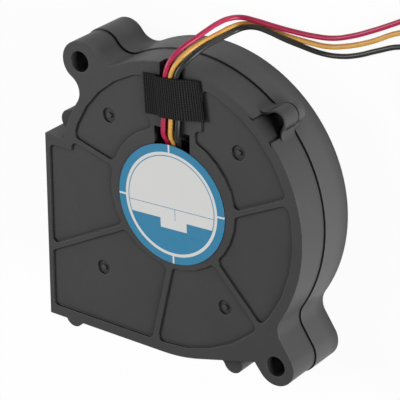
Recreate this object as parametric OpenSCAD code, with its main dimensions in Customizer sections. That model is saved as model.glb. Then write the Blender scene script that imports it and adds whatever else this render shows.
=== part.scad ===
// Small radial blower: a two-part volute housing around a brushless outer-rotor motor.
// The rotor turns about Z, the intake face lies on Z = 0 and the label face is up.
// The outlet opens towards -X.

/* [Housing] */
// Depth of the housing from the intake face to the label face
housing_depth = 15; // [14.8:0.1:17]
// Height of the parting line above the intake face
parting_z = 7.7; // [7.2:0.1:8.2]
// Thickness of the side walls
wall = 1.2; // [1:0.05:1.4]
// Thickness of the two flat faces
face = 1.3; // [1.2:0.05:1.5]
// Radius of the wall beside the outlet, where the volute starts
tongue_r = 26.1; // [25.8:0.1:26.4]
// Radius of the volute's first quarter turn
volute_r = 27; // [26.6:0.1:28]
// Growth of the volute's radius in each quarter turn
volute_step = 2; // [1.6:0.1:2.4]
// Distance from the rotor axis to the outlet's mouth
outlet_reach = 29.9; // [29:0.1:34]
// Height of the outlet's upper edge above the rotor axis
outlet_top = 6.15; // [5.6:0.05:7]
// Diameter of the inlet hole
inlet_d = 34; // [31:0.5:36]

/* [Mounting] */
// Distance between the two ear holes along X
ear_span_x = 44.7; // [43.5:0.1:46]
// Distance between the two ear holes along Y
ear_span_y = 50.4; // [49.5:0.1:52]
// Outer diameter of the ears
ear_d = 8; // [7.2:0.1:8.6]
// Diameter of the ear holes
ear_hole_d = 4.1; // [3.4:0.1:4.6]

/* [Snap latches] */
// Outer diameter of a latch's half-round boss
latch_d = 4.2; // [4:0.1:4.6]
// Wall of the boss around the hook
latch_wall = 0.7; // [0.6:0.05:0.8]
// Width of the snap hook
hook_w = 1.8; // [1.4:0.1:2]

/* [Face pattern] */
// Depth of the recessed panels in the label face
panel_depth = 0.4; // [0.2:0.05:0.6]
// Width of the border between the panels and the edge
rim = 2.1; // [1.6:0.1:2.6]
// Radius of the level face around the hub
hub_face_r = 14.1; // [13.4:0.1:14.6]
// Width of the ribs between the panels
rib = 1.1; // [0.8:0.1:1.6]
// Diameter of the round label
label_d = 24.1; // [22:0.1:25]

/* [Impeller] */
// Outside diameter of the impeller
impeller_d = 45.6; // [43:0.2:47]
// Number of blades
blade_count = 19; // [11:1:23]
// Thickness of a blade
blade_t = 0.7; // [0.5:0.05:0.9]
// Outside diameter of the hub
hub_d = 26; // [26:0.1:27]
// Wall of the hub
hub_wall = 0.95; // [0.8:0.05:1]

/* [Motor] */
// Diameter of the shaft
shaft_d = 3; // [2.8:0.1:3]
// Outside diameter of the ball bearings
bearing_d = 7; // [6.8:0.1:7.4]
// Width of a ball bearing
bearing_w = 3; // [2.8:0.1:3]
// Diameter of the balls
ball_d = 1; // [0.9:0.05:1]
// Number of balls in a bearing
ball_count = 7; // [6:1:8]
// Height of the stator's lamination stack
stack_h = 4; // [3.4:0.1:4]
// Air gap between the stator and the magnet
air_gap = 0.35; // [0.25:0.05:0.5]
// Thickness of the circuit board
board_t = 0.8; // [0.6:0.1:0.9]

/* [Leads] */
// Outside diameter of each lead
lead_d = 1; // [0.9:0.05:1.1]
// Thickness of the tape over the leads
tape_t = 0.25; // [0.15:0.05:0.35]

/* [Hidden] */

$fn = 96;
far = 80;      // reaches past the housing on every side
eps = 0.01;    // overlap that keeps cuts clean
fit = 0.05;    // clearance between pieces that slide together

inlet_round = 0.4;  // rounding of the inlet's outer edge

// Volute: three quarter turns whose centres step round a small square
volute_lift = 0.2;
volute_centres = [[0, volute_lift], [0, volute_lift - volute_step],
                  [-volute_step, volute_lift - volute_step]];
volute_radii = [volute_r, volute_r + volute_step, volute_r + 2 * volute_step];
outlet_bottom = volute_centres[2][1] - volute_radii[2];
shell_step = 0.25;  // the intake shell stands this much proud of the label shell

// Ears on one diagonal of the housing
ear_centre = [1.35, -2.4];
ear_a = ear_centre + [-ear_span_x, ear_span_y] / 2;
ear_b = ear_centre + [ear_span_x, -ear_span_y] / 2;
ear_r = ear_d / 2;
ear_a_angle = atan2(ear_a[1] - volute_lift, ear_a[0]);
ear_blend = 4;       // fillet between an ear's straight flank and the volute
flank_angle = 124.5; // direction of that flank, from the ear to the volute
tongue_blend = 3.4;  // fillet between the upper ear and the tongue wall
web_angle = 285.5;   // where the straight web to the lower ear leaves the volute
web_l = 13.2;

// Snap latches: boss centre, volute centre behind it and the wall's radius there
latch_r = latch_d / 2;
latch_proud = 1.3;   // from the wall to the boss centre
latch_low = parting_z - 2;
latch_high = housing_depth - 3;
latch_blend = 1.3;
latch_roof = 0.8;    // closed end of a boss above its hook
open_latch = 2;      // the latch whose boss is open towards the label face
open_blend = 2.2;
open_wall = 0.4;
ledge_z = parting_z + 1.5;
hook_h = 1.1;
hook_t = 0.9;
slot_w = 0.55;
latches = [[volute_centres[0], tongue_r, 162], [volute_centres[2], volute_radii[2] + 1.1, 295],
           [volute_centres[1], volute_radii[1], 46.3]];
rib_boss = [-23.9, outlet_bottom + 0.8];
rib_boss_r = 2.05;

// Lap joint and the fine groove round the parting line
lip_t = 0.55;
lip_h = 0.8;
groove_w = 0.3;
groove_d = 0.35;

// Label face
plate_z = housing_depth - face;
mouth_border = 0.95;
panel_corner = 1.2;
panel_centre = [0.4, 0.4];  // of the panels' edge beside the tongue
panel_r = 24.4;
// Ribs between the panels, each from one point to another
ribs = [[[-13, 3.7], [-23.5, 6.7]], [[-11, -8.5], [-32, -19.7]], [[-0.4, -13.5], [-4.7, -33]],
        [[9, -9.3], [21.5, -22.3]], [[12.5, 0.1], [27.5, 7.6]]];
pad_y = 9.6;         // outer end of the leads' solder joints
lead_slot = [[-3.8, pad_y - 1.2], [4.2, 14.2]];
lead_notch = [[-2.45, 23.8], [2.6, 30]];
notch_drop = 2;
tape_land = [[-5.8, 15.5], [6.7, 28]];
slot_land = [[-4.6, 12], [5.2, 17]];
ejector_marks = [[-14.6, 13.4], [14.7, 13.3], [-16.6, -19], [11.9, -19]];
mark_r = 1.5;
mark_depth = 0.35;
label_centre = [0, -0.9];
label_t = 0.15;
tape_at = [0.15, 20.85];
tape_w = 12.9;
tape_l = 8;
tape_turn = 6;

// Motor stack, measured down from the label face
tube_wall = 0.9;
tube_r = bearing_d / 2 + tube_wall;
tube_top = housing_depth - 0.3;
tube_land = 0.5;          // inner step that both outer rings seat on
upper_z = plate_z - 0.1 - bearing_w;
bearing_gap = 1.6;        // between the two bearings
lower_z = upper_z - bearing_gap - bearing_w;
tube_low = lower_z - 0.2;
seat_t = 0.7;             // moulded seat of the circuit board
seat_r = tube_r + 1.6;
board_z = plate_z - seat_t - board_t;

// Ball bearings
bore_r = shaft_d / 2;
pitch_r = (bore_r + bearing_d / 2) / 2;
ball_r = ball_d / 2;
ball_play = 0.03;
race_gap = 0.76;          // between the two rings' shoulders
cage_t = 0.5;
cage_h = 1.5;
shield_t = 0.12;
shield_play = 0.08;

// Rotor
hub_r = hub_d / 2;
hub_z = 1.9;
hub_plate = 1;
hub_gap = 1.1;        // from the hub's open edge to the plate
hub_top = plate_z - hub_gap;
hub_round = 1.2;
back_t = 0.8;
blade_z = hub_z + hub_round / 2;
blade_root = 0.5;     // how far a blade reaches into the hub's wall
blade_short = 0.15;   // from a blade's tip to the rings' edge
tip_ring_w = 0.9;
blade_arc_r = 9.5;
blade_arc_reach = 15;
yoke_r = hub_r - hub_wall;
yoke_t = 0.5;
yoke_z = hub_z + hub_plate;
yoke_drop = 0.4;      // from the hub's edge down to the yoke's edge
yoke_top = hub_top - yoke_drop;
magnet_t = 1.2;
magnet_lift = 1.2;    // from the yoke's floor to the magnet
magnet_drop = 0.2;
magnet_r = yoke_r - yoke_t;
board_play = 0.35;    // between the board's edge and the magnet's radius
board_r = magnet_r - board_play;
bush_r = 3.2;
bush_z = hub_z + 0.5;
bush_top = lower_z - 1;
shaft_top = tube_top - 0.1;
washer_t = 0.2;
clip_t = 0.35;
clip_depth = 0.3;
washer_z = upper_z + bearing_w;
clip_z = washer_z + washer_t;
spring_wire = 0.24;
spring_turns = 2.5;

// Stator
core_r = magnet_r - magnet_t - air_gap;
arm_w = 3.2;
yoke_ring = 1.3;
tip_t = 1.3;
tip_angle = 68;
sheet_t = 0.5;
sheet_groove = 0.06;
insulator_t = 0.5;
coil_build = 0.75;
coil_in = tube_r + yoke_ring + 0.35;
coil_out = core_r - tip_t - 0.35;
pin_r = 0.25;
pin_inset = 0.6;      // from the core ring's edge to a pin's centre
pin_at = tube_r + yoke_ring - pin_inset;
pin_angles = [45 : 90 : 315];
fence_h = insulator_t + coil_build;
stator_gap = 0.35;    // from the upper insulator to the board
core_z = board_z - stator_gap - fence_h - stack_h;

// Leads: each is one list of points, from its solder joint to the coil of its spare length
lead_r = lead_d / 2;
lead_pitch = 1.15;
joint_l = 0.9;
route_red = [[-1.15, 9.6, 13.5], [-1.5, 11.6, 14.2], [-1.35, 13.2, 15.4], [-1.25, 15, 15.6],
             [-1.2, 16.8, 15.5], [-1.1, 20, 15.5], [-0.9, 23.2, 15.5], [-0.5, 26.3, 15.5], [0.4, 28.86, 15],
             [1.7, 30.35, 13.8], [3, 31.64, 11.8], [3.8, 32.73, 9], [4.1, 33.29, 6], [4.5, 33.41, 3],
             [5.8, 33.31, 0.9], [8.47, 33.25, 1], [12.42, 32.9, 0.82], [17, 32.67, 0.5], [21.4, 32.66, 0.5],
             [25.2, 33.26, 0.5], [28.9, 34.45, 0.5], [32.9, 36.26, 0.5], [38.7, 39.3, 0.5], [43, 41.7, 0.5],
             [48, 44.6, 0.5]];
route_yellow = [[0, 9.6, 13.5], [-0.05, 11.6, 14.2], [0.25, 13.2, 15.4], [0.4, 15, 15.6], [0.4, 16.8, 15.5],
                [0.35, 20, 15.5], [0.3, 23.2, 15.5], [0.7, 26.03, 15.5], [1.8, 28.51, 15], [3, 29.98, 13.6],
                [4, 31.05, 11.5], [4.4, 31.27, 8.8], [4.5, 31.31, 5.8], [4.9, 31.76, 2.9], [6.2, 32.18, 1],
                [8.7, 32.31, 0.5], [12.1, 31.81, 0.5], [16, 31.44, 0.5], [20.1, 31.27, 0.5],
                [24.2, 31.45, 0.5], [27.9, 32.33, 0.5], [32.9, 34.27, 0.5], [38.8, 37.3, 0.5],
                [44, 38.7, 0.5], [50, 38.5, 0.5], [55, 37.7, 0.5], [60, 37.5, 0.5]];
route_black = [[1.15, 9.6, 13.5], [1.3, 11.6, 14.2], [1.7, 13.2, 15.4], [1.9, 15, 15.6], [1.95, 16.8, 15.5],
               [1.75, 20, 15.5], [1.55, 23.2, 15.5], [1.9, 26, 15.5], [3, 28.1, 15], [4.2, 29.43, 13.4],
               [4.98, 30.64, 11.32], [5.37, 30.88, 8.74], [5.46, 30.91, 5.83], [5.73, 31.08, 2.95],
               [7, 31.81, 1.9], [9.46, 32.45, 1.69], [12.21, 32.05, 1.62], [15.07, 31.33, 1.61],
               [18.94, 30.64, 1.31], [23.11, 29.87, 0.51], [26.9, 30.19, 0.5], [30.4, 31.17, 0.5],
               [34.5, 32.97, 0.5], [38.9, 34.7, 0.5], [43.2, 35.2, 0.5], [47.6, 34.4, 0.5],
               [52, 33.5, 0.5]];
coil_red_at = [44.75, 50.2];
coil_yellow_at = [60, 44];
coil_black_at = [52, 27];
coil_mean_r = 5.5;
coil_rows = 3;

function dir(a) = [cos(a), sin(a)];
function unit(v) = v / norm(v);

// Where circles of radius r0 about c0 and r1 about c1 meet, left or right of the line between them
function meet(c0, r0, c1, r1, side) =
    let (d = norm(c1 - c0), along = (d * d + r0 * r0 - r1 * r1) / (2 * d), u = (c1 - c0) / d)
    c0 + along * u + side * sqrt(r0 * r0 - along * along) * [-u[1], u[0]];

function latch_at(l) = l[0] + (l[1] + latch_proud) * dir(l[2]);

module ring(outer_r, inner_r, h) {
    difference() {
        cylinder(r = outer_r, h = h);
        translate([0, 0, -eps]) cylinder(r = inner_r, h = h + 2 * eps);
    }
}

module box_2d(corners) {
    translate(corners[0]) square(corners[1] - corners[0]);
}

module sector(centre, r, from, to) {
    intersection() {
        translate(centre) circle(r);
        polygon([centre, for (a = [from, (from + to) / 2, to]) centre + far * dir(a)]);
    }
}

// A triangle from a round boss to the wall behind it, hollowed by a fillet that is tangent to both
module web(boss_at, boss_r, wall_at, wall_r, blend, side, inset = 0) {
    centre = meet(wall_at, wall_r + blend, boss_at, boss_r + blend, side);
    difference() {
        polygon([wall_at, boss_at, centre]);
        translate(centre) circle(blend + inset);
    }
}

// The straight flank of an ear: tangent to the ear and joined to the wall by a fillet
module flank_web(ear, wall_at, wall_r, inset) {
    w = dir(flank_angle);
    n = dir(flank_angle - 90);
    from = ear + (ear_r + ear_blend) * n - wall_at;
    reach = (wall_r + ear_blend) * (wall_r + ear_blend);
    centre = wall_at + from - (from * w + sqrt((from * w) * (from * w) - from * from + reach)) * w;
    difference() {
        polygon([wall_at, ear, ear + (ear_r - inset - eps) * n,
                 centre - (ear_blend + inset - eps) * n, centre]);
        translate(centre) circle(ear_blend + inset);
    }
}

// Outline of the volute and its outlet, moved in by inset; mouth moves the outlet's open end in
module volute_2d(inset, mouth) {
    sector(volute_centres[0], tongue_r - inset, ear_a_angle, 180);
    sector(volute_centres[0], volute_radii[0] - inset, 90, ear_a_angle);
    volute_rest_2d(inset, mouth);
}

module volute_rest_2d(inset, mouth) {
    circle(volute_r / 2);
    sector(volute_centres[1], volute_radii[1] - inset, 0, 90);
    sector(volute_centres[2], volute_radii[2] - inset, 270, 360);
    box_2d([[mouth - outlet_reach, outlet_bottom + inset], [volute_centres[2][0], outlet_top - inset]]);
}

// Outline of the whole housing, with its ears and their fillets
module housing_2d(inset = 0) {
    foot = volute_centres[2] + (volute_radii[2] - inset) * dir(web_angle);
    corner = foot + web_l * dir(web_angle - 270);
    volute_2d(inset, max(inset, 0));
    for (ear = [ear_a, ear_b]) translate(ear) circle(ear_r - inset);
    web(ear_a, ear_r, volute_centres[0], tongue_r, tongue_blend, 1, inset);
    web(ear_a, ear_r, volute_centres[0], volute_radii[0], ear_blend, -1, inset);
    flank_web(ear_b, volute_centres[2], volute_radii[2], inset);
    polygon([foot, corner, ear_b + (ear_r - inset) * dir(220), ear_b, volute_centres[2]]);
}

module latch_2d(l, blend = latch_blend, inset = 0) {
    translate(latch_at(l)) circle(latch_r - inset);
    for (side = [-1, 1]) web(latch_at(l), latch_r, l[0], l[1], blend, side, inset);
}

// Places its children at a latch, with X along the way out of the housing
module at_latch(l) {
    translate(latch_at(l)) rotate(l[2]) children();
}

module ear_bores() {
    for (ear = [ear_a, ear_b])
        translate([ear[0], ear[1], -eps]) cylinder(d = ear_hole_d, h = housing_depth + 2 * eps);
}

// A fine groove just below z, round the outside of the housing
module parting_groove(z, h) {
    translate([0, 0, z]) linear_extrude(h) difference() {
        square(2 * far, center = true);
        housing_2d(groove_d);
    }
}

// The bell-shaped pocket of the open boss, from the hook's ledge up
module open_pocket() {
    l = latches[open_latch];
    translate([0, 0, ledge_z]) linear_extrude(housing_depth) difference() {
        latch_2d(l, open_blend, open_wall);
        translate(l[0]) circle(l[1] - open_wall);
    }
}

module latch_slots() {
    slot_z = latch_low + 0.3;
    slot_top = latch_high - 1.2;
    for (l = latches, side = [-1, 1]) at_latch(l)
        translate([-0.5, side * (latch_r - 0.2) - 0.7, slot_z]) cube([slot_w, 1.4, slot_top - slot_z]);
}

module panels_2d() {
    offset(r = panel_corner, $fn = 32) offset(delta = -panel_corner) difference() {
        union() {
            sector(panel_centre, panel_r, 90, 180);
            volute_rest_2d(rim, mouth_border);
        }
        circle(hub_face_r);
        for (r = ribs) rib_2d(r[0], r[1]);
        box_2d(tape_land);
        box_2d(slot_land);
    }
}

module rib_2d(from, to) {
    across = rib / 2 * [-unit(to - from)[1], unit(to - from)[0]];
    polygon([from + across, to + across, to - across, from - across]);
}

module label_shell() {
    window_r = latch_r - latch_wall;
    color("#46464a") difference() {
        union() {
            translate([0, 0, parting_z]) linear_extrude(housing_depth - parting_z) housing_2d();
            translate([0, 0, parting_z]) linear_extrude(latch_high - parting_z) {
                for (l = latches) latch_2d(l);
                latch_2d(latches[open_latch], open_blend);
            }
            translate(concat(rib_boss, parting_z)) cylinder(r = rib_boss_r, h = housing_depth - parting_z);
        }
        difference() {
            translate([0, 0, parting_z - eps]) linear_extrude(plate_z - parting_z + eps) volute_2d(wall, -1);
            translate([0, 0, plate_z - seat_t]) cylinder(r = seat_r, h = seat_t + eps);
        }
        // rebate for the other shell's lip
        translate([0, 0, parting_z - eps]) linear_extrude(lip_h + fit + eps)
            volute_2d(wall - lip_t - fit, -1);
        parting_groove(parting_z - eps, groove_w / 2);
        ear_bores();
        translate([0, 0, parting_z]) cylinder(r = tube_r, h = housing_depth);
        translate([0, 0, housing_depth - panel_depth]) linear_extrude(panel_depth + eps) panels_2d();
        for (mark = ejector_marks) translate([mark[0], mark[1], housing_depth - panel_depth - mark_depth])
            ring(mark_r, mark_r / 3, mark_depth + eps);
        translate([0, 0, parting_z]) linear_extrude(housing_depth) box_2d(lead_slot);
        translate([0, 0, housing_depth - notch_drop]) linear_extrude(housing_depth) box_2d(lead_notch);
        translate([0, 0, parting_z]) linear_extrude(housing_depth) intersection() {
            box_2d(lead_notch);
            volute_2d(wall, 0);
        }
        for (l = latches) at_latch(l) {
            translate([0, 0, ledge_z]) cylinder(r = window_r, h = latch_high - latch_roof - ledge_z);
            translate([-hook_t, -hook_w / 2 - fit, parting_z - eps])
                cube([hook_t + fit + 0.4, hook_w + 2 * fit, ledge_z - parting_z + 2 * eps]);
        }
        latch_slots();
        open_pocket();
    }
}

module intake_shell() {
    color("#4a4a4e") {
        difference() {
            union() {
                linear_extrude(parting_z) housing_2d(-shell_step);
                translate([0, 0, latch_low]) linear_extrude(parting_z - latch_low)
                    for (l = latches) latch_2d(l);
            }
            translate([0, 0, face]) linear_extrude(parting_z) volute_2d(wall, -1);
            parting_groove(parting_z - groove_w / 2, groove_w);
            ear_bores();
            translate([0, 0, -eps]) cylinder(d = inlet_d, h = face + 2 * eps);
            // rounded mouth of the inlet
            translate([0, 0, -eps]) rotate_extrude() difference() {
                translate([inlet_d / 2 - eps, 0]) square([inlet_round + eps, inlet_round]);
                translate([inlet_d / 2 + inlet_round, inlet_round]) circle(inlet_round);
            }
            latch_slots();
        }
        translate([0, 0, parting_z - eps]) linear_extrude(lip_h + eps) difference() {
            volute_2d(wall - lip_t, 0);
            volute_2d(wall, -1);
        }
        for (l = latches) snap_hook(l);
    }
}

// A hook that rises from the boss below the parting line and bears on the ledge above it
module snap_hook(l) {
    back = 0.6;
    barb = 0.3;
    hook_z = parting_z - 0.5;
    catch_z = ledge_z + fit;
    at_latch(l) {
        translate([-back, -hook_w / 2, hook_z]) cube([hook_t, hook_w, catch_z + hook_h - hook_z]);
        translate([hook_t - back - eps, hook_w / 2, catch_z]) rotate([90, 0, 0]) linear_extrude(hook_w)
            polygon([[0, 0], [barb, 0], [barb, hook_h / 2], [0, hook_h]]);
    }
}

module bearing_tube() {
    flange_r = tube_r - 0.15;
    color("#c2a25a") difference() {
        union() {
            translate([0, 0, tube_low]) cylinder(r = flange_r, h = tube_top - tube_low);
            // press fit in the shell, the board's seat and the stator core
            for (z = [[core_z, stack_h], [plate_z - seat_t, tube_top - plate_z + seat_t]])
                translate([0, 0, z[0]]) cylinder(r = tube_r, h = z[1]);
        }
        translate([0, 0, tube_low - eps]) cylinder(d = bearing_d, h = lower_z + bearing_w - tube_low + eps);
        translate([0, 0, upper_z]) cylinder(d = bearing_d, h = tube_top - upper_z + eps);
        translate([0, 0, tube_low]) cylinder(r = bearing_d / 2 - tube_land, h = tube_top - tube_low);
    }
}

module at_bearing(upper) {
    translate([0, 0, (upper ? upper_z : lower_z) + bearing_w / 2]) children();
}

module race_cut() {
    rotate_extrude() translate([pitch_r, 0]) circle(ball_r + ball_play, $fn = 48);
}

module outer_ring(upper) {
    color("#b9bdc2") at_bearing(upper) difference() {
        translate([0, 0, -bearing_w / 2]) ring(bearing_d / 2, pitch_r + race_gap / 2, bearing_w);
        race_cut();
        for (side = [-1, 1]) translate([0, 0, side * (bearing_w / 2 - 0.1) - shield_t / 2 - 0.1])
            cylinder(r = pitch_r + race_gap / 2 + 0.12, h = shield_t + 0.2);
    }
}

module inner_ring(upper) {
    color("#b9bdc2") at_bearing(upper) difference() {
        translate([0, 0, -bearing_w / 2]) ring(pitch_r - race_gap / 2, bore_r, bearing_w);
        race_cut();
    }
}

module balls(upper) {
    color("#d9dce0") at_bearing(upper) for (i = [0 : ball_count - 1])
        rotate(i * 360 / ball_count) translate([pitch_r, 0, 0]) sphere(ball_r, $fn = 48);
}

module cage(upper) {
    color("#a08040") at_bearing(upper) difference() {
        translate([0, 0, -cage_h / 2]) ring(pitch_r + cage_t / 2, pitch_r - cage_t / 2, cage_h);
        for (i = [0 : ball_count - 1]) rotate(i * 360 / ball_count)
            translate([pitch_r - cage_t, 0, 0]) rotate([0, 90, 0])
                cylinder(r = ball_r + ball_play, h = 2 * cage_t);
    }
}

module shields(upper) {
    seat = bearing_w / 2 - 0.1;
    color("#8f9398") at_bearing(upper) for (side = [-1, 1])
        translate([0, 0, side * seat - shield_t / 2])
            ring(pitch_r + race_gap / 2 + 0.12, pitch_r - race_gap / 2 + shield_play, shield_t);
}

module shaft() {
    color("#c9ccd0") difference() {
        translate([0, 0, bush_z]) cylinder(r = bore_r, h = shaft_top - bush_z);
        translate([0, 0, clip_z]) ring(bore_r + eps, bore_r - clip_depth, clip_t);
    }
}

module shaft_bush() {
    color("#b98d3e") translate([0, 0, bush_z]) ring(bush_r, bore_r, bush_top - bush_z);
}

module retaining_clip() {
    clip_r = 2.1;
    gap = 0.7;
    color("#5a5d60") translate([0, 0, clip_z]) difference() {
        ring(clip_r, bore_r - clip_depth, clip_t);
        translate([0, -gap / 2, -eps]) cube([clip_r + 1, gap, clip_t + 2 * eps]);
    }
}

module thrust_washer() {
    color("#e8e4d8") translate([0, 0, washer_z]) ring(2, bore_r, washer_t);
}

// A closed tube of the given radius along a list of points
function frame_normals(t, i = 0, n = [1, 0, 0], out = []) =
    i == len(t) ? out :
    let (next = unit(n - (n * t[i]) * t[i])) frame_normals(t, i + 1, next, concat(out, [next]));

module swept_tube(points, r, sides) {
    last = len(points) - 1;
    tangents = [for (i = [0 : last]) unit(points[min(i + 1, last)] - points[max(i - 1, 0)])];
    normals = frame_normals(tangents);
    rings = [for (i = [0 : last], k = [0 : sides - 1])
        let (a = 360 * k / sides, across = cross(tangents[i], normals[i]))
        points[i] + r * (cos(a) * normals[i] + sin(a) * across)];
    walls = [for (i = [0 : last - 1], k = [0 : sides - 1])
        let (a = i * sides + k, b = i * sides + (k + 1) % sides) [a, a + sides, b + sides, b]];
    caps = [[for (k = [0 : sides - 1]) k], [for (k = [sides - 1 : -1 : 0]) last * sides + k]];
    polyhedron(rings, concat(walls, caps), convexity = 6);
}

module preload_spring() {
    steps = 16;
    coil_r = bore_r + 0.3;
    rise = lower_z - bush_top - spring_wire;
    points = [for (i = [0 : spring_turns * steps])
        let (a = i * 360 / steps)
        [coil_r * cos(a), coil_r * sin(a), bush_top + spring_wire / 2 + rise * i / (spring_turns * steps)]];
    color("#a9adb2") swept_tube(points, spring_wire / 2, 6);
}

// A forward-curved blade: part of a circle, between the hub and the tips
module blade_2d() {
    intersection() {
        difference() {
            translate([blade_arc_reach, 0]) circle(blade_arc_r + blade_t / 2);
            translate([blade_arc_reach, 0]) circle(blade_arc_r - blade_t / 2);
        }
        difference() {
            circle(impeller_d / 2 - blade_short);
            circle(hub_r - blade_root);
        }
        box_2d([[0, 1], [far, far]]);
    }
}

module impeller() {
    tip_r = impeller_d / 2;
    color("#2c2c2f") difference() {
        union() {
            rotate_extrude() difference() {
                union() {
                    translate([0, hub_z]) square([hub_r - hub_round, hub_top - hub_z]);
                    translate([0, hub_z + hub_round]) square([hub_r, hub_top - hub_z - hub_round]);
                    translate([hub_r - hub_round, hub_z + hub_round]) circle(hub_round);
                }
                translate([-eps, yoke_z]) square([yoke_r + eps, far]);
                translate([-hub_r, 0]) square([hub_r, far]);
            }
            translate([0, 0, hub_top - back_t]) ring(tip_r, hub_r - blade_root / 2, back_t);
            translate([0, 0, blade_z]) ring(tip_r, tip_r - tip_ring_w, tip_ring_w);
            translate([0, 0, blade_z]) linear_extrude(hub_top - blade_z)
                for (i = [0 : blade_count - 1]) rotate(i * 360 / blade_count) blade_2d();
        }
        translate([0, 0, bush_z]) cylinder(r = bush_r, h = hub_top);
    }
}

module rotor_yoke() {
    color("#9a9da1") difference() {
        translate([0, 0, yoke_z]) cylinder(r = yoke_r, h = yoke_top - yoke_z);
        translate([0, 0, yoke_z + yoke_t]) cylinder(r = magnet_r, h = housing_depth);
        translate([0, 0, yoke_z - eps]) cylinder(r = bush_r, h = housing_depth);
    }
}

module magnet_ring() {
    magnet_z = yoke_z + yoke_t + magnet_lift;
    magnet_h = yoke_top - magnet_drop - magnet_z;
    color("#3a3835") translate([0, 0, magnet_z]) ring(magnet_r, magnet_r - magnet_t, magnet_h);
}

// Four arms with curved tips around the bearing tube
module core_2d() {
    difference() {
        union() {
            circle(tube_r + yoke_ring);
            for (a = [0 : 90 : 270]) rotate(a) translate([0, -arm_w / 2]) square([core_r - tip_t / 2, arm_w]);
            difference() {
                for (a = [0 : 90 : 270]) sector([0, 0], core_r, a - tip_angle / 2, a + tip_angle / 2);
                circle(core_r - tip_t);
            }
        }
        circle(tube_r);
    }
}

module stator_core() {
    sheets = floor(stack_h / sheet_t);
    color("#8d9196") difference() {
        translate([0, 0, core_z]) linear_extrude(stack_h) core_2d();
        // lines between the stamped sheets
        for (i = [1 : sheets - 1]) translate([0, 0, core_z + i * stack_h / sheets - sheet_groove / 2])
            ring(core_r + 1, core_r - sheet_groove, sheet_groove);
    }
}

// Moulded end cap of the stator: it lines the arms and fences the windings in
module insulator(z, outwards) {
    base_z = outwards > 0 ? z : z - insulator_t;
    fence_z = outwards > 0 ? z : z - fence_h;
    color("#e9e6da") {
        translate([0, 0, base_z]) linear_extrude(insulator_t) difference() {
            union() {
                circle(tube_r + yoke_ring);
                for (a = [0 : 90 : 270]) rotate(a) translate([0, -arm_w / 2]) square([core_r - tip_t, arm_w]);
            }
            circle(tube_r);
        }
        translate([0, 0, fence_z]) ring(tube_r + yoke_ring, tube_r + 0.3, fence_h);
        translate([0, 0, fence_z]) linear_extrude(fence_h) for (a = [0 : 90 : 270]) rotate(a)
            translate([coil_out, -arm_w / 2]) square([0.35, arm_w]);
    }
}

module windings() {
    coil_z = core_z - insulator_t;
    coil_h = stack_h + 2 * insulator_t;
    color("#b5622c") for (a = [0 : 90 : 270]) rotate(a) difference() {
        translate([coil_in, -arm_w / 2 - coil_build, coil_z - coil_build])
            cube([coil_out - coil_in, arm_w + 2 * coil_build, coil_h + 2 * coil_build]);
        translate([coil_in - 1, -arm_w / 2, coil_z]) cube([coil_out, arm_w, coil_h]);
    }
}

// Pins in the upper insulator that carry the winding ends up through the board
module winding_pins() {
    pin_z = core_z + stack_h + fence_h;
    color("#c8ccd0") for (a = pin_angles) rotate(a)
        translate([pin_at, 0, pin_z]) cylinder(r = pin_r, h = board_z + board_t - pin_z);
}

module circuit_board() {
    color("#1d2420") difference() {
        translate([0, 0, board_z]) ring(board_r, tube_r, board_t);
        for (a = pin_angles) rotate(a) translate([pin_at, 0, board_z - eps])
            cylinder(r = pin_r, h = board_t + 2 * eps);
    }
}

// A chip on the board's lower side, between two of the stator's arms
module chip(angle, r, size) {
    rotate(angle) translate([r - size[0] / 2, -size[1] / 2, board_z - size[2]]) cube(size);
}

module hall_sensor() {
    color("#1d1d1f") chip(45, board_r - 2.1, [1.6, 3, 1.1]);
}

module driver_chip() {
    color("#1d1d1f") chip(225, board_r - 2.8, [3, 3.2, 0.9]);
}

module board_chips() {
    color("#5d4a35") for (a = [118, 130, 142]) chip(a, board_r - 2, [1.6, 0.8, 0.5]);
}

module solder_joints() {
    color("#c6c9cc") for (i = [-1 : 1]) translate([i * lead_pitch, pad_y - joint_l, board_z + board_t]) {
        translate([0, 0, lead_r]) rotate([-90, 0, 0]) cylinder(r = lead_r, h = joint_l);
        translate([-lead_r, 0, 0]) cube([lead_d, joint_l, lead_r]);
    }
}

module label() {
    color("#4b93bd") translate(concat(label_centre, housing_depth)) cylinder(d = label_d, h = label_t);
}

// A strip of tape that arches over the three leads and slopes down to its far end
module cloth_tape() {
    rise = lead_d + 0.08;
    top = 2 * lead_pitch;
    feet = [top + 2.4, top + 3.7];
    end = tape_w / 2;
    color("#1b1b1d") translate(concat(tape_at, housing_depth)) rotate([90, 0, tape_turn])
        translate([0, 0, -tape_l / 2]) linear_extrude(tape_l)
            polygon([[-end, 0], [-feet[0], 0], [-top, rise], [top, rise], [feet[1], 0], [end, 0],
                     [end, tape_t], [feet[1], tape_t], [top, rise + tape_t], [-top, rise + tape_t],
                     [-feet[0], tape_t], [-end, tape_t]]);
}

// The outer shape of a lead's wound-up spare length
module wound_coil(at) {
    outer_r = coil_mean_r + 1.5 * lead_d;
    inner_r = coil_mean_r - 1.5 * lead_d;
    round_r = lead_r * 0.8;
    translate([at[0], at[1], 0]) rotate_extrude() {
        translate([inner_r, round_r]) square([outer_r - inner_r, coil_rows * lead_d - 2 * round_r]);
        translate([inner_r + round_r, 0]) square([outer_r - inner_r - 2 * round_r, coil_rows * lead_d]);
        for (x = [inner_r + round_r, outer_r - round_r], z = [round_r, coil_rows * lead_d - round_r])
            translate([x, z]) circle(round_r, $fn = 32);
    }
}

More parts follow.
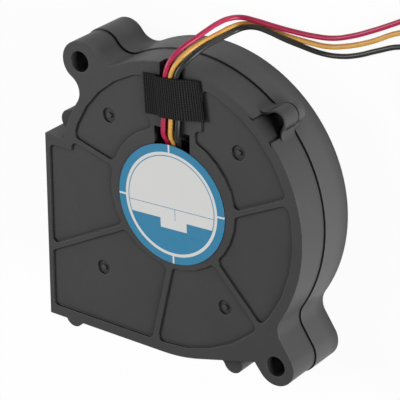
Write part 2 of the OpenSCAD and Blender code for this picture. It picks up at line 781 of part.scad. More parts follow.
label_shell();
intake_shell();
bearing_tube();
outer_ring(true);  // upper_outer_ring
inner_ring(true);  // upper_inner_ring
balls(true);  // upper_balls
cage(true);  // upper_cage
shields(true);  // upper_shields
outer_ring(false);  // lower_outer_ring
inner_ring(false);  // lower_inner_ring
balls(false);  // lower_balls
cage(false);  // lower_cage
shields(false);  // lower_shields
shaft();
shaft_bush();
retaining_clip();
thrust_washer();
preload_spring();
impeller();
rotor_yoke();
magnet_ring();
stator_core();
insulator(core_z + stack_h, 1);  // upper_insulator
insulator(core_z, -1);  // lower_insulator
windings();
winding_pins();
circuit_board();
hall_sensor();
driver_chip();
board_chips();
solder_joints();
label();
cloth_tape();
color("#c8102e") swept_tube(route_red, lead_r, 8);  // lead_red
color("#f2b01e") swept_tube(route_yellow, lead_r, 8);  // lead_yellow
color("#1a1a1a") swept_tube(route_black, lead_r, 8);  // lead_black
color("#c8102e") wound_coil(coil_red_at);  // coil_red
color("#f2b01e") wound_coil(coil_yellow_at);  // coil_yellow
color("#1a1a1a") wound_coil(coil_black_at);  // coil_black
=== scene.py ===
# A small flat blower lying on its intake side, leads taped down, spare lead length wound up beside it.
import math

import bmesh
import bpy
from mathutils import Matrix, Vector


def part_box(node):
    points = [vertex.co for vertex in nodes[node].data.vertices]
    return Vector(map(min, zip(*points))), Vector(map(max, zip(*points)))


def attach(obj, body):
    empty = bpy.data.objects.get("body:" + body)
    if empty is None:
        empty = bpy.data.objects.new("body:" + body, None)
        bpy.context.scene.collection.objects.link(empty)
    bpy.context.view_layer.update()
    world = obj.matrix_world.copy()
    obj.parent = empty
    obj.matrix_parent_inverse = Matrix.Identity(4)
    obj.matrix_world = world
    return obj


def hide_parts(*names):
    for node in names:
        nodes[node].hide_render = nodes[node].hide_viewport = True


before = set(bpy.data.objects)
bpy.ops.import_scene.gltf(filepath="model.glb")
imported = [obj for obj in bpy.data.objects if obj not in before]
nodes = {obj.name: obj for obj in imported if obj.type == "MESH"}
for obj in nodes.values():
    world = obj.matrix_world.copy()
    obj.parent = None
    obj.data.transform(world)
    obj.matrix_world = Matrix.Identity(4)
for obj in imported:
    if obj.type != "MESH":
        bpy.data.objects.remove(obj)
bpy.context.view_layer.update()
mm = 0.001
print("frame loaded:", len(nodes), "nodes")

# Camera

cameraFacts = {
    "place": (0.221182, 0.176892, 0.316133),
    "ahead": (-0.524674, -0.427808, -0.736001),
    "roll": -120.991,  # degrees about the line of sight
    "lens": 200.4,
    "sensor": 36,
    "clip": (0.01, 10),
}


def makeCamera(facts):
    data = bpy.data.cameras.new("camera")
    data.lens = facts["lens"]
    data.sensor_width = facts["sensor"]
    data.clip_start, data.clip_end = facts["clip"]
    camera = bpy.data.objects.new("camera", data)
    bpy.context.scene.collection.objects.link(camera)
    turn = Vector(facts["ahead"]).to_track_quat("-Z", "Y").to_matrix()
    spin = Matrix.Rotation(math.radians(facts["roll"]), 3, "Z")
    camera.matrix_world = Matrix.Translation(facts["place"]) @ (turn @ spin).to_4x4()
    bpy.context.scene.camera = camera


makeCamera(cameraFacts)
print("camera placed")


# Shader maths: numbers are written as plain arithmetic, and each step adds its Math node


class Value:
    def __init__(self, recipe, socket):
        self.recipe = recipe
        self.socket = socket

    def __add__(self, other):
        return self.recipe.maths("ADD", self, other)

    __radd__ = __add__

    def __sub__(self, other):
        return self.recipe.maths("SUBTRACT", self, other)

    def __rsub__(self, other):
        return self.recipe.maths("SUBTRACT", other, self)

    def __mul__(self, other):
        return self.recipe.maths("MULTIPLY", self, other)

    __rmul__ = __mul__

    def __pow__(self, other):
        return self.recipe.maths("POWER", self, other)

    def __gt__(self, other):
        return self.recipe.maths("GREATER_THAN", self, other)

    def __lt__(self, other):
        return self.recipe.maths("LESS_THAN", self, other)

    def __abs__(self):
        return self.recipe.maths("ABSOLUTE", self)


class Recipe:
    def __init__(self, name):
        self.material = bpy.data.materials.new(name)
        self.material.use_nodes = True
        self.tree = self.material.node_tree
        self.shader = self.tree.nodes["Principled BSDF"]

    # Any node: its type, the settings made first, then what goes into its sockets
    def node(self, kind, settings=None, inputs=None, output=0):
        made = self.tree.nodes.new(kind)
        for key, value in (settings or {}).items():
            if key == "stops":
                self.fillRamp(made, value)
            else:
                setattr(made, key, value)
        for key, value in (inputs or {}).items():
            self.feed(made.inputs[key], value)
        return Value(self, made.outputs[output])

    def fillRamp(self, ramp, stops):
        while len(ramp.color_ramp.elements) < len(stops):
            ramp.color_ramp.elements.new(1)
        for element, (place, colour) in zip(ramp.color_ramp.elements, stops):
            element.position = place
            element.color = (*colour, 1)

    def feed(self, socket, value):
        if isinstance(value, Value):
            self.tree.links.new(value.socket, socket)
        elif isinstance(value, tuple) and len(value) == 3 and socket.type == "RGBA":
            socket.default_value = (*value, 1)
        else:
            socket.default_value = value

    def maths(self, operation, *values):
        return self.node("ShaderNodeMath", {"operation": operation}, dict(enumerate(values)))

    def place(self, source="Object"):
        return self.node("ShaderNodeTexCoord", output=source)

    def mapped(self, vector, location=(0, 0, 0), rotation=(0, 0, 0), scale=(1, 1, 1)):
        inputs = {"Vector": vector, "Location": location, "Rotation": rotation, "Scale": scale}
        return self.node("ShaderNodeMapping", {"vector_type": "POINT"}, inputs)

    def parts(self, vector):
        split = self.tree.nodes.new("ShaderNodeSeparateXYZ")
        self.feed(split.inputs[0], vector)
        return [Value(self, socket) for socket in split.outputs]

    def noise(self, vector, scale, detail=3, roughness=0.5):
        inputs = {"Vector": vector, "Scale": scale, "Detail": detail, "Roughness": roughness}
        return self.node("ShaderNodeTexNoise", inputs=inputs)

    def spread(self, value, low, high, fromLow=0, fromHigh=1):
        inputs = {"Value": value, "From Min": fromLow, "From Max": fromHigh, "To Min": low, "To Max": high}
        return self.node("ShaderNodeMapRange", inputs=inputs)

    def mix(self, share, first, second):
        made = self.tree.nodes.new("ShaderNodeMix")
        made.data_type = "RGBA"
        self.feed(made.inputs[0], share)
        self.feed(made.inputs[6], first)
        self.feed(made.inputs[7], second)
        return Value(self, made.outputs[2])

    def bump(self, height, depth, strength, normal=None):
        inputs = {"Height": height, "Distance": depth, "Strength": strength}
        if normal:
            inputs["Normal"] = normal
        return self.node("ShaderNodeBump", inputs=inputs)

    # How open a spot is: 1 on a flat, towards 0 deep in a hollow, or with inside on a sharp edge
    def openness(self, reach, inside=False):
        settings = {"samples": 8, "inside": inside}
        return self.node("ShaderNodeAmbientOcclusion", settings, {"Distance": reach}, 1)

    def softEdges(self, radius):
        return self.node("ShaderNodeBevel", {"samples": 6}, {"Radius": radius})

    def finish(self, **sockets):
        names = {"colour": "Base Color", "roughness": "Roughness", "metallic": "Metallic",
                 "specular": "Specular IOR Level", "coat": "Coat Weight", "normal": "Normal"}
        for key, value in sockets.items():
            self.feed(self.shader.inputs[names[key]], value)
        return self.material


# Finishes: a pattern is given as scale, detail and roughness


def scaled(colour, share):
    return tuple(c * share for c in colour)


housingFinish = {
    "labelSide": (0.043, 0.043, 0.045),
    "intakeSide": (0.060, 0.059, 0.060),
    "cloud": 0.12,              # how far the grey wanders
    "clouds": (90, 4, 0.6),
    "grain": (9000, 3, 0.7),
    "dimples": (2600, 2),
    "relief": 0.034 * mm,       # depth of grain and dimples
    "roughness": (0.46, 0.60),
    "edge": 0.22 * mm,          # rounding of the moulded edges, also how far the painted edge highlight reaches
    "streaks": (340, 5, 0.7),
    "patches": (70, 3),         # where the streaks and the painted edge highlights show
    # the lighter tone of the real scuffs, also used for the painted edge highlight
    "lighterTone": (0.3, 0.3, 0.3),
    "scuff": 0.16,              # share of the lighter tone in a scuff streak
    "edgeHighlightShare": 0.22,               # the same for the painted highlight on a sharp edge
    "corner": (0.7 * mm, 1.1),  # reach and power of the painted shade in corners
    "deep": (3.5 * mm, 1.4),    # the same for the painted shade in deep holes
    "shaded": 0.12,             # how much of the colour is left under the painted shade
}


def mouldedPlastic(name, colour, facts):
    recipe = Recipe(name)
    here = recipe.place()
    clouds = recipe.noise(here, *facts["clouds"])
    grain = recipe.noise(here, *facts["grain"])
    dimples = recipe.noise(here, *facts["dimples"])
    patches = recipe.noise(here, *facts["patches"])
    stretched = recipe.mapped(here, rotation=(0, 0, 0.7), scale=(5, 1, 2))
    streaks = recipe.spread(recipe.noise(stretched, *facts["streaks"]), 0, facts["scuff"], 0.6, 0.8)
    scuffs = streaks * recipe.spread(patches, 0, 1, 0.5, 0.7)
    # Sharp edges get a painted highlight: the colour is lightened along them
    sharp = 1 - recipe.openness(facts["edge"], True)
    paintedEdgeHighlight = sharp * recipe.spread(patches, 0, facts["edgeHighlightShare"], 0.42, 0.6)
    grey = recipe.mix(clouds, scaled(colour, 1 - facts["cloud"]), scaled(colour, 1 + facts["cloud"]))
    # The lighter tone goes on the real scuff streaks and on the painted edge highlight
    lighterTone = recipe.mix(recipe.maths("MAXIMUM", scuffs, paintedEdgeHighlight), grey, facts["lighterTone"])
    (cornerReach, cornerPower), (deepReach, deepPower) = facts["corner"], facts["deep"]
    # Painted shade: the colour is darkened in corners and deep holes
    shade = recipe.openness(cornerReach) ** cornerPower * recipe.openness(deepReach) ** deepPower
    relief = grain * 0.35 + dimples * 0.65
    return recipe.finish(
        colour=recipe.mix(shade, scaled(colour, facts["shaded"]), lighterTone),
        roughness=recipe.spread(clouds * 0.5 + grain * 0.5, *facts["roughness"], 0.3, 0.7),
        specular=0.5,
        normal=recipe.bump(relief, facts["relief"], 0.9, recipe.softEdges(facts["edge"])),
    )


labelFacts = {
    "centre": (0, -0.9 * mm),
    "turn": 2.5,             # degrees
    "ring": 10.5 * mm,       # inner edge of the blue ring
    "tick": 0.19 * mm,       # half width of the four ticks in it
    "arc": 9.9 * mm,         # inner edge of the white line beside it
    "line": 9.68 * mm,       # inner edge of the thin blue line
    "field": -3.1 * mm,      # where the white field ends and the blue foot starts
    "tab": (0.4 * mm, 3.0 * mm, -5.0 * mm),  # its middle, half width and lower edge
    "rule": -0.75 * mm,      # height of the rule across the field
    "divider": 0.8 * mm,     # place of the short line under it
    "ruleHalf": 0.07 * mm,   # half width of both
    "blue": (0.035, 0.25, 0.44),
    "white": (0.79, 0.79, 0.775),
    "ink": 0.85,             # strength of the thin lines
    "haze": (700, 3),
    "dust": (0.08, (0.42, 0.44, 0.47)),
    "roughness": (0.30, 0.42),
    "relief": 0.006 * mm,
    "edge": 0.06 * mm,
}


def printedLabel(facts):
    recipe = Recipe("labelFilm")
    turn = math.radians(-facts["turn"])
    centre = Matrix.Rotation(turn, 3, "Z") @ Vector((*facts["centre"], 0))
    x, y = recipe.parts(recipe.mapped(recipe.place(), tuple(-centre), (0, 0, turn)))[:2]
    radius = (x * x + y * y) ** 0.5
    inside = radius < facts["arc"]
    ring = radius > facts["ring"]
    tick = ((abs(x) < facts["tick"]) + (abs(y) < facts["tick"])) * ring
    foot = (y < facts["field"]) * inside
    middle, half, lower = facts["tab"]
    tab = (abs(x - middle) < half) * (y > lower)
    circle = (radius > facts["line"]) * inside
    rule = (abs(y - facts["rule"]) < facts["ruleHalf"]) * inside
    divider = (abs(x - facts["divider"]) < facts["ruleHalf"]) * (y < facts["rule"]) * (y > facts["field"])
    printed = ring * (1 - tick) + foot * (1 - tab)
    lines = recipe.maths("MINIMUM", circle + rule + divider, 1) * (1 - foot)
    haze = recipe.noise(recipe.place(), *facts["haze"])
    paper = recipe.mix(lines * facts["ink"], facts["white"], facts["blue"])
    colour = recipe.mix(printed, paper, facts["blue"])
    dust, dustColour = facts["dust"]
    return recipe.finish(
        colour=recipe.mix(haze * dust, colour, dustColour),
        roughness=recipe.spread(haze, *facts["roughness"]),
        specular=0.3,
        normal=recipe.bump(haze, facts["relief"], 0.5, recipe.softEdges(facts["edge"])),
    )


# Bare metal with the fine rings that a lathe or a grinding wheel leaves
def turnedMetal(name, colour, roughness, grooves=5200):
    recipe = Recipe(name)
    here = recipe.place()
    x, y, z = recipe.parts(here)
    section = recipe.node("ShaderNodeCombineXYZ", inputs={0: (x * x + y * y) ** 0.5, 1: z})
    rings = recipe.noise(section, grooves, 2)
    return recipe.finish(
        colour=recipe.mix(recipe.noise(here, 500, 3), scaled(colour, 0.82), colour),
        metallic=1,
        roughness=recipe.spread(rings, roughness * 0.8, roughness * 1.25),
        normal=recipe.bump(rings, 0.008 * mm, 0.5, recipe.softEdges(0.05 * mm)),
    )


def sheetStack(name, colour):
    recipe = Recipe(name)
    here = recipe.place()
    bands = {"Vector": here, "Scale": 320, "Distortion": 0.4}
    sheets = recipe.node("ShaderNodeTexWave", {"bands_direction": "Z"}, bands)
    stain = recipe.noise(here, 900, 4)
    return recipe.finish(
        colour=recipe.mix(stain, scaled(colour, 0.6), colour),
        metallic=1,
        roughness=recipe.spread(stain, 0.35, 0.6),
        normal=recipe.bump(sheets, 0.02 * mm, 0.6),
    )


def woundCopper(name, colour):
    recipe = Recipe(name)
    bands = {"Vector": recipe.place(), "Scale": 1300, "Distortion": 0.8}
    wires = recipe.node("ShaderNodeTexWave", {"bands_direction": "DIAGONAL"}, bands)
    return recipe.finish(
        colour=recipe.mix(wires, scaled(colour, 0.5), colour),
        metallic=1,
        roughness=recipe.spread(wires, 0.25, 0.4),
        coat=0.5,
        normal=recipe.bump(wires, 0.05 * mm, 0.8),
    )


# Moulded, cast or pressed small parts: how coarse the grain is, and how deep in millimetres
def castBody(name, colour, roughness, coarse, depth):
    recipe = Recipe(name)
    here = recipe.place()
    fine = recipe.noise(here, coarse, 4, 0.6)
    wide = recipe.noise(here, 300, 3)
    return recipe.finish(
        colour=recipe.mix(wide, scaled(colour, 0.85), colour),
        roughness=recipe.spread(fine, roughness * 0.85, roughness * 1.15),
        normal=recipe.bump(fine, depth * mm, 0.7, recipe.softEdges(0.08 * mm)),
    )


def sleevePlastic(name, colour, deep):
    recipe = Recipe(name)
    here = recipe.place()
    streak = recipe.noise(here, 800, 3, 0.6)
    skin = recipe.noise(here, 5000, 2)
    return recipe.finish(
        colour=recipe.mix(recipe.spread(streak, 0, 0.5, 0.35, 0.7), colour, deep),
        roughness=recipe.spread(skin, 0.34, 0.46),
        specular=0.5,
        normal=recipe.bump(streak * 0.6 + skin * 0.4, 0.02 * mm, 0.35),
    )


tapeFacts = {
    "corners": [(-6.2 * mm, 24.2 * mm), (6.5 * mm, 25.5 * mm), (7.7 * mm, 17.7 * mm), (-5.7 * mm, 16.3 * mm)],
    "thickness": 0.22 * mm,
    "threads": 27,       # ribs across the width
    "picks": 24,         # threads across the ribs
    "fuzz": (4200, 4, 0.7),
    "relief": 0.11 * mm,
    "colour": (0.004, 0.004, 0.0045),
    "lighterTone": (0.064, 0.064, 0.066),
}


def wovenCloth(facts):
    recipe = Recipe("tapeCloth")
    u, v = recipe.parts(recipe.place("UV"))[:2]
    ribs = recipe.maths("SINE", u * (2 * math.pi * facts["threads"])) * 0.5 + 0.5
    picks = recipe.maths("SINE", v * (2 * math.pi * facts["picks"])) * 0.5 + 0.5
    height = ribs * (0.35 + picks * 0.5) + recipe.noise(recipe.place(), *facts["fuzz"]) * 0.25
    return recipe.finish(
        colour=recipe.mix(recipe.spread(height, 0, 1, 0.35, 1.1), facts["colour"], facts["lighterTone"]),
        roughness=0.86,
        specular=0.2,
        normal=recipe.bump(height, facts["relief"], 0.9),
    )


materials = {
    "shellTop": mouldedPlastic("housingPlastic", housingFinish["labelSide"], housingFinish),
    "shellBottom": mouldedPlastic("intakePlastic", housingFinish["intakeSide"], housingFinish),
    "blades": castBody("impellerPlastic", (0.022, 0.022, 0.024), 0.42, 4000, 0.006),
    "label": printedLabel(labelFacts),
    "tape": wovenCloth(tapeFacts),
    "brass": turnedMetal("turnedBrass", (0.72, 0.53, 0.25), 0.28),
    "cage": turnedMetal("cageBrass", (0.6, 0.46, 0.22), 0.35, 3000),
    "ground": turnedMetal("groundSteel", (0.56, 0.57, 0.58), 0.22, 8000),
    "polished": turnedMetal("polishedSteel", (0.68, 0.69, 0.7), 0.1, 900),
    "drawn": turnedMetal("drawnSteel", (0.5, 0.51, 0.52), 0.34, 2200),
    "magnet": castBody("sinteredMagnet", (0.05, 0.048, 0.046), 0.55, 2500, 0.02),
    "sheets": sheetStack("stampedSheets", (0.42, 0.43, 0.45)),
    "nylon": castBody("ivoryNylon", (0.72, 0.69, 0.58), 0.45, 2500, 0.006),
    "copper": woundCopper("enamelledCopper", (0.7, 0.33, 0.15)),
    "tin": turnedMetal("solderTin", (0.66, 0.67, 0.68), 0.3, 1500),
    "board": castBody("lacqueredBoard", (0.008, 0.012, 0.009), 0.3, 1800, 0.008),
    "epoxy": castBody("chipEpoxy", (0.012, 0.012, 0.013), 0.5, 5000, 0.006),
    "ceramic": castBody("firedCeramic", (0.25, 0.17, 0.11), 0.5, 3000, 0.006),
    "red": sleevePlastic("redSleeve", (0.52, 0.012, 0.085), (0.36, 0.006, 0.05)),
    "yellow": sleevePlastic("yellowSleeve", (0.78, 0.43, 0.09), (0.62, 0.30, 0.045)),
    "black": sleevePlastic("blackSleeve", (0.022, 0.022, 0.021), (0.012, 0.012, 0.012)),
}

nodeFinishes = {
    "shellTop": ["label_shell"],
    "shellBottom": ["intake_shell"],
    "blades": ["impeller"],
    "label": ["label"],
    "brass": ["bearing_tube", "shaft_bush"],
    "cage": ["upper_cage", "lower_cage"],
    "ground": ["upper_outer_ring", "upper_inner_ring", "lower_outer_ring", "lower_inner_ring",
               "upper_shields", "lower_shields", "retaining_clip"],
    "polished": ["shaft", "upper_balls", "lower_balls", "preload_spring"],
    "drawn": ["rotor_yoke"],
    "magnet": ["magnet_ring"],
    "sheets": ["stator_core"],
    "nylon": ["upper_insulator", "lower_insulator", "thrust_washer"],
    "copper": ["windings"],
    "tin": ["winding_pins", "solder_joints"],
    "board": ["circuit_board"],
    "epoxy": ["hall_sensor", "driver_chip"],
    "ceramic": ["board_chips"],
}
for finish, names in nodeFinishes.items():
    for name in names:
        mesh = nodes[name].data
        mesh.materials.clear()
        mesh.materials.append(materials[finish])
print("finishes made and put on the nodes")


# Leads: each follows its chosen points, then its spare length is wound up beside the blower

leadFacts = {
    "diameter": 1 * mm,
    "length": 0.305,
    "free": (8, 19),          # from the tape's edge to the floor, where nothing holds the lead
    "evening": 0.22,
    "stub": 5 * mm,           # the bare end
    "stubRadius": 0.32 * mm,
    "stubSink": 0.2 * mm,     # how far it starts inside the sleeve
    "stubRings": 10,
    "stubTwist": 0.35,        # radians from ring to ring
}
coilFacts = {
    "outer": 6.5 * mm,
    "inner": 4.5 * mm,
    "rowTurns": 2,            # turns in a row
    "climb": 0.25,            # turns from a row up to the next
    "steps": 20,              # knots in a turn
}

routes = {
    "red": [
        (-0.00115, 0.0096, 0.0135), (-0.0015, 0.0116, 0.0142), (-0.00135, 0.0132, 0.0154),
        (-0.00125, 0.015, 0.0156), (-0.0012, 0.0168, 0.0155), (-0.0011, 0.02, 0.0155),
        (-0.0009, 0.0232, 0.0155), (-0.0005, 0.0263, 0.0155), (0.0004, 0.02886, 0.015),
        (0.0017, 0.03035, 0.0138), (0.003, 0.03164, 0.0118), (0.0038, 0.03273, 0.009),
        (0.0041, 0.03329, 0.006), (0.0045, 0.03341, 0.003), (0.0058, 0.03331, 0.0009),
        (0.00847, 0.03325, 0.001), (0.01242, 0.0329, 0.00082), (0.017, 0.03267, 0.0005),
        (0.0214, 0.03266, 0.0005), (0.0252, 0.03326, 0.0005), (0.0289, 0.03445, 0.0005),
        (0.0329, 0.03626, 0.0005), (0.0387, 0.0393, 0.0005), (0.043, 0.0417, 0.0005),
        (0.048, 0.0446, 0.0005),
    ],
    "yellow": [
        (0, 0.0096, 0.0135), (-5e-05, 0.0116, 0.0142), (0.00025, 0.0132, 0.0154),
        (0.0004, 0.015, 0.0156), (0.0004, 0.0168, 0.0155), (0.00035, 0.02, 0.0155),
        (0.0003, 0.0232, 0.0155), (0.0007, 0.02603, 0.0155), (0.0018, 0.02851, 0.015),
        (0.003, 0.02998, 0.0136), (0.004, 0.03105, 0.0115), (0.0044, 0.03127, 0.0088),
        (0.0045, 0.03131, 0.0058), (0.0049, 0.03176, 0.0029), (0.0062, 0.03218, 0.001),
        (0.0087, 0.03231, 0.0005), (0.0121, 0.03181, 0.0005), (0.016, 0.03144, 0.0005),
        (0.0201, 0.03127, 0.0005), (0.0242, 0.03145, 0.0005), (0.0279, 0.03233, 0.0005),
        (0.0329, 0.03427, 0.0005), (0.0388, 0.0373, 0.0005), (0.044, 0.0387, 0.0005),
        (0.05, 0.0385, 0.0005), (0.055, 0.0377, 0.0005), (0.06, 0.0375, 0.0005),
    ],
    "black": [
        (0.00115, 0.0096, 0.0135), (0.0013, 0.0116, 0.0142), (0.0017, 0.0132, 0.0154),
        (0.0019, 0.015, 0.0156), (0.00195, 0.0168, 0.0155), (0.00175, 0.02, 0.0155),
        (0.00155, 0.0232, 0.0155), (0.0019, 0.026, 0.0155), (0.003, 0.0281, 0.015),
        (0.0042, 0.02943, 0.0134), (0.00498, 0.03064, 0.01132), (0.00537, 0.03088, 0.00874),
        (0.00546, 0.03091, 0.00583), (0.00573, 0.03108, 0.00295), (0.007, 0.03181, 0.0019),
        (0.00946, 0.03245, 0.00169), (0.01221, 0.03205, 0.00162), (0.01507, 0.03133, 0.00161),
        (0.01894, 0.03064, 0.00131), (0.02311, 0.02987, 0.00051), (0.0269, 0.03019, 0.0005),
        (0.0304, 0.03117, 0.0005), (0.0345, 0.03297, 0.0005), (0.0389, 0.0347, 0.0005),
        (0.0432, 0.0352, 0.0005), (0.0476, 0.0344, 0.0005), (0.052, 0.0335, 0.0005),
    ],
}
# Where each coil lies, the angle at which the lead comes in, and which way it winds
coils = {
    "red": {"at": (0.04475, 0.0502), "from": -60, "sense": 1},
    "yellow": {"at": (0.06, 0.044), "from": -90, "sense": 1},
    "black": {"at": (0.052, 0.027), "from": 90, "sense": -1},
}


def easeStep(share):
    return share * share * (3 - 2 * share)


# A point of a coil after so many turns: flat spirals on each other, in and out by turns
def coilPoint(coil, turns):
    rowLength = coilFacts["rowTurns"] + coilFacts["climb"]
    row = int(turns // rowLength)
    along = turns - row * rowLength
    start, end = coilFacts["outer"], coilFacts["inner"]
    if row % 2:
        start, end = end, start
    share = min(1, along / coilFacts["rowTurns"])
    climb = max(0, along - coilFacts["rowTurns"]) / coilFacts["climb"]
    radius = start + (end - start) * share
    angle = math.radians(coil["from"]) + coil["sense"] * 2 * math.pi * turns
    height = leadFacts["diameter"] * (0.5 + row + easeStep(climb))
    x, y = coil["at"]
    return Vector((x + radius * math.cos(angle), y + radius * math.sin(angle), height))


# The wire's own stiffness evens out the route's corners where nothing holds it
def evened(points):
    kept = [point.copy() for point in points]
    share = leadFacts["evening"]
    for i in range(*leadFacts["free"]):
        points[i] = kept[i] * (1 - 2 * share) + (kept[i - 1] + kept[i + 1]) * share
    return points


def leadPoints(name):
    points = evened([Vector(p) for p in routes[name]])
    left = leadFacts["length"] - sum((b - a).length for a, b in zip(points, points[1:]))
    step = 0
    while left > 0:
        step += 1
        following = coilPoint(coils[name], step / coilFacts["steps"])
        reach = (following - points[-1]).length
        if reach > left:
            following = points[-1].lerp(following, left / reach)
        points.append(following)
        left -= reach
    return points


def makeLead(name):
    points = leadPoints(name)
    data = bpy.data.curves.new("lead_" + name, "CURVE")
    data.dimensions = "3D"
    data.bevel_depth = leadFacts["diameter"] / 2
    data.bevel_resolution = 5
    data.resolution_u = 5
    data.use_fill_caps = True
    spline = data.splines.new("BEZIER")
    spline.bezier_points.add(len(points) - 1)
    for knot, point in zip(spline.bezier_points, points):
        knot.co = point
        knot.handle_left_type = "AUTO"
        knot.handle_right_type = "AUTO"
    lead = bpy.data.objects.new("lead_wire_" + name, data)
    bpy.context.scene.collection.objects.link(lead)
    data.materials.append(materials[name])
    return lead, points


def newPiece(name, work, material, smooth=True):
    data = bpy.data.meshes.new(name)
    work.to_mesh(data)
    work.free()
    data.materials.append(material)
    for face in data.polygons:
        face.use_smooth = smooth
    piece = bpy.data.objects.new(name, data)
    bpy.context.scene.collection.objects.link(piece)
    return piece


# The tinned end of a lead: a twist of strands, turned from a circle
def makeStub(name, points):
    work = bmesh.new()
    end, before = points[-1], points[-2]
    along = (end - before).normalized()
    turn = along.to_track_quat("Z", "Y").to_matrix().to_4x4()
    bmesh.ops.create_circle(work, segments=24, radius=leadFacts["stubRadius"], cap_ends=True)
    face = list(work.faces)
    twist = Matrix.Rotation(leadFacts["stubTwist"], 3, "Z")
    for step in range(leadFacts["stubRings"]):
        grown = bmesh.ops.extrude_face_region(work, geom=face)
        verts = [v for v in grown["geom"] if isinstance(v, bmesh.types.BMVert)]
        bmesh.ops.delete(work, geom=face, context="FACES_ONLY")
        bmesh.ops.translate(work, verts=verts, vec=(0, 0, leadFacts["stub"] / leadFacts["stubRings"]))
        bmesh.ops.rotate(work, verts=verts, matrix=twist, cent=(0, 0, 0))
        face = [f for f in grown["geom"] if isinstance(f, bmesh.types.BMFace)]
    start = Matrix.Translation(end - along * leadFacts["stubSink"])
    bmesh.ops.transform(work, matrix=start @ turn, verts=work.verts)
    bmesh.ops.recalc_face_normals(work, faces=work.faces)
    return newPiece("lead_end_" + name, work, materials["tin"])


for name in routes:
    lead, points = makeLead(name)
    stub = makeStub(name, points)
    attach(lead, "housing")
    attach(stub, "housing")
    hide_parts("lead_" + name, "coil_" + name)
print("leads routed and wound")


# Cloth tape over the leads

tapeShape = {
    "cells": (72, 44),
    # the arch from the left foot over the leads to the right end: place across, height
    "profile": [(-4.6, 0), (-3.4, 0.22), (-2.2, 0.92), (-1.2, 1.08), (0, 1.07), (1.4, 1.08), (2.5, 0.98),
                (3.8, 0.6), (5.2, 0.22), (6.4, 0.04)],
    "middle": (0.25 * mm, 20.5 * mm),  # where the leads' middle crosses the tape's
    "drift": 0.12,                     # how the leads drift sideways under the tape
    "lift": (0.12 * mm, 0.86, 1.6),    # how far the loose right end stands up, from where and how bent
    "fray": (0.05 * mm, 57),           # how far the cut ends stray, and how fast
}


# Height of the tape over the face: an eased line through the profile's points
def tapeHeight(across):
    profile = [(place * mm, height * mm) for place, height in tapeShape["profile"]]
    if across <= profile[0][0]:
        return profile[0][1]
    for (left, low), (right, high) in zip(profile, profile[1:]):
        if across <= right:
            share = (across - left) / (right - left)
            return low + (high - low) * (0.6 * share + 0.4 * easeStep(share))
    return profile[-1][1]


def makeTape():
    work = bmesh.new()
    columns, rows = tapeShape["cells"]
    bmesh.ops.create_grid(work, x_segments=columns, y_segments=rows, size=0.5, calc_uvs=True)
    layer = work.loops.layers.uv.verify()
    for face in work.faces:
        for loop in face.loops:
            loop[layer].uv = (loop.vert.co.x + 0.5, loop.vert.co.y + 0.5)
    leftTop, rightTop, rightLow, leftLow = [Vector(c) for c in tapeFacts["corners"]]
    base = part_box("label_shell")[1][2] + tapeFacts["thickness"] / 2
    crossX, crossY = tapeShape["middle"]
    lift, liftFrom, liftPower = tapeShape["lift"]
    stray, rate = tapeShape["fray"]
    for vert in work.verts:
        u, v = vert.co.x + 0.5, vert.co.y + 0.5
        spot = leftLow.lerp(rightLow, u).lerp(leftTop.lerp(rightTop, u), v)
        middle = crossX - tapeShape["drift"] * (spot.y - crossY)
        loose = max(0, u - liftFrom) / (1 - liftFrom)
        height = tapeHeight(spot.x - middle) + lift * loose ** liftPower
        cut = u < 0.001 or u > 0.999
        fray = stray * math.sin(rate * v) if cut else 0
        vert.co = (spot.x + fray, spot.y, base + height)
    tape = newPiece("cloth_tape_strip", work, materials["tape"])
    wall = tape.modifiers.new("thickness", "SOLIDIFY")
    wall.thickness = tapeFacts["thickness"]
    wall.offset = 0
    return tape


tape = makeTape()
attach(tape, "housing")
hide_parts("cloth_tape")
print("tape laid")


# Floor, backdrop light and lamps

stageFacts = {
    "size": 6,
    "white": (0.95, 0.95, 0.95),
    "shadow": 0.06,      # how much of the object's shadow the floor shows
    "level": 0.26,       # of the world's light on the object
}
lamps = {
    "key": {"at": (0.88, -0.06, 0.2), "size": 0.45, "power": 8.2},
    "fill": {"at": (-0.66, 0.1, 0.62), "size": 0.35, "power": 4.6},
}


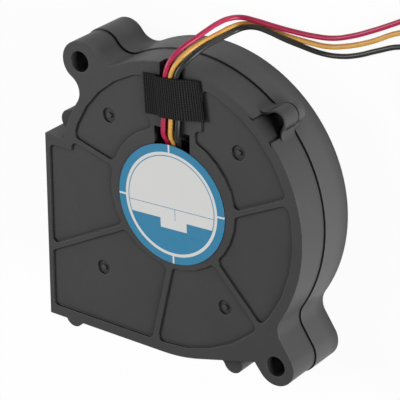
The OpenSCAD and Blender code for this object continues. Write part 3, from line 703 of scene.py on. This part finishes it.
def makeFloor():
    recipe = Recipe("studioFloor")
    work = bmesh.new()
    bmesh.ops.create_grid(work, x_segments=2, y_segments=2, size=stageFacts["size"])
    floor = newPiece("floor", work, recipe.material, False)
    recipe.finish(colour=stageFacts["white"], roughness=0.9)
    path = recipe.tree.nodes.new("ShaderNodeLightPath")
    seen = Value(recipe, path.outputs["Is Camera Ray"])
    glossy = Value(recipe, path.outputs["Is Glossy Ray"])
    through = Value(recipe, path.outputs["Is Transmission Ray"])
    share = recipe.maths("MINIMUM", seen + glossy + through, 1) * (1 - stageFacts["shadow"])
    glow = recipe.node("ShaderNodeEmission", inputs={"Color": (1, 1, 1), "Strength": 1})
    blend = recipe.tree.nodes.new("ShaderNodeMixShader")
    recipe.feed(blend.inputs[0], share)
    recipe.tree.links.new(recipe.shader.outputs[0], blend.inputs[1])
    recipe.feed(blend.inputs[2], glow)
    recipe.tree.links.new(blend.outputs[0], recipe.tree.nodes["Material Output"].inputs["Surface"])


def makeWorld():
    world = bpy.data.worlds.new("studio")
    bpy.context.scene.world = world
    world.use_nodes = True
    tree = world.node_tree
    back = tree.nodes["Background"]
    back.inputs["Color"].default_value = (1, 1, 1, 1)
    path = tree.nodes.new("ShaderNodeLightPath")
    seen = tree.nodes.new("ShaderNodeMath")
    seen.operation = "MAXIMUM"
    tree.links.new(path.outputs["Is Camera Ray"], seen.inputs[0])
    tree.links.new(path.outputs["Is Transmission Ray"], seen.inputs[1])
    level = tree.nodes.new("ShaderNodeMapRange")
    level.inputs["To Min"].default_value = stageFacts["level"]
    level.inputs["To Max"].default_value = 1
    tree.links.new(seen.outputs[0], level.inputs["Value"])
    tree.links.new(level.outputs[0], back.inputs["Strength"])


def makeLamp(name, facts):
    data = bpy.data.lights.new(name, "AREA")
    data.size = facts["size"]
    data.energy = facts["power"]
    lamp = bpy.data.objects.new(name, data)
    lamp.location = facts["at"]
    lamp.rotation_mode = "QUATERNION"
    lamp.rotation_quaternion = (-Vector(facts["at"])).to_track_quat("-Z", "Y")
    bpy.context.scene.collection.objects.link(lamp)


makeFloor()
makeWorld()
for name, facts in lamps.items():
    makeLamp(name, facts)
bpy.context.scene.view_settings.view_transform = "Standard"
print("stage and lamps set")
